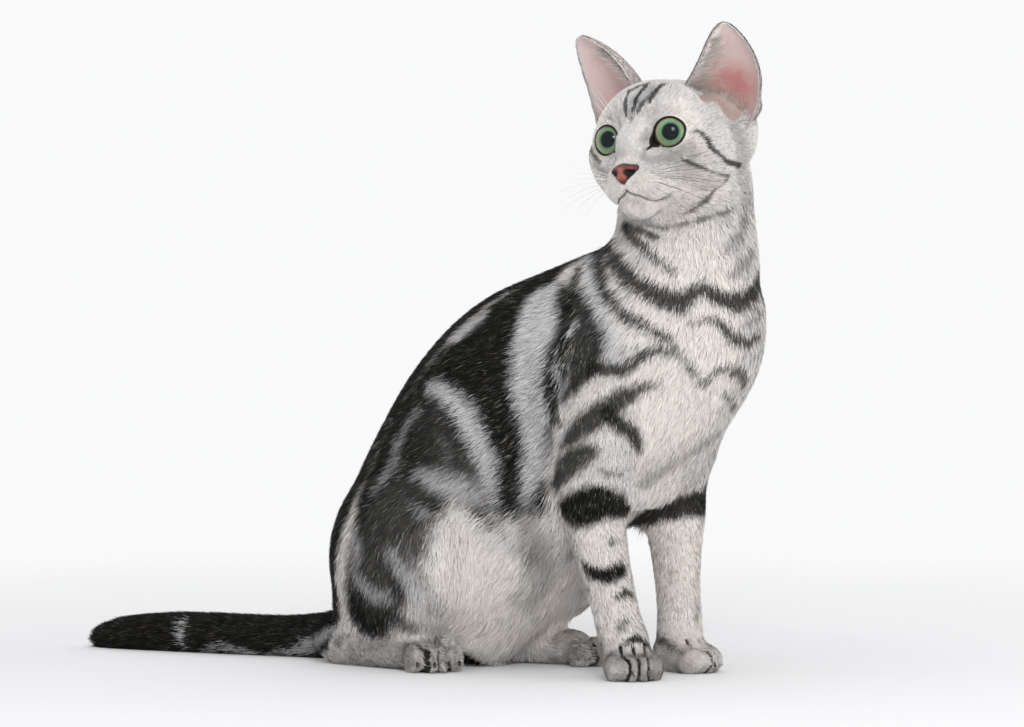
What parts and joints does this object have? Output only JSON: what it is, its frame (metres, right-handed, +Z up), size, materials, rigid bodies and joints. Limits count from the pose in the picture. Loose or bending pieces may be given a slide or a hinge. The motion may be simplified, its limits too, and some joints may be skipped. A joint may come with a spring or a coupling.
{
  "type": "tabby cat",
  "caption": "Still life-size model of a silver tabby cat, sitting upright with its head turned over its right shoulder and its tail laid out behind.",
  "frame": {"origin": "middle of the bottom of the box, on the floor that the cat sits on", "axes": "+Z up; the body faces -Y and the tail runs towards +Y; +X is the cat's left side; the head looks towards -X"},
  "size_m": [0.1656, 0.503, 0.4111],
  "materials": {
    "coat_silver": "short silver fur with charcoal tabby bands",
    "coat_black": "short charcoal fur with a pale ring",
    "ear_skin": "thinly furred pink skin inside, silver fur outside",
    "nose_skin": "moist pebbled skin with a dark edge",
    "eye": "clear wet gloss over a green iris and a round black pupil",
    "claw": "smooth dark horn",
    "whisker": "stiff pale hair"
  },
  "bodies": {
    "root": {"head": "coat_silver", "neck": "coat_silver", "chest": "coat_silver", "trunk": "coat_silver", "foreleg_right": "coat_silver", "foreleg_left": "coat_silver", "forepaw_right": "coat_silver", "forepaw_left": "coat_silver", "thigh_right": "coat_silver", "thigh_left": "coat_silver", "hindfoot_right": "coat_silver", "hindfoot_left": "coat_silver", "ear_right": "ear_skin", "ear_left": "ear_skin", "nose": "nose_skin", "eye_right": "eye", "eye_left": "eye", "tail_base": "coat_black", "tail_middle": "coat_black", "tail_tip": "coat_black"}
  },
  "joints": []
}
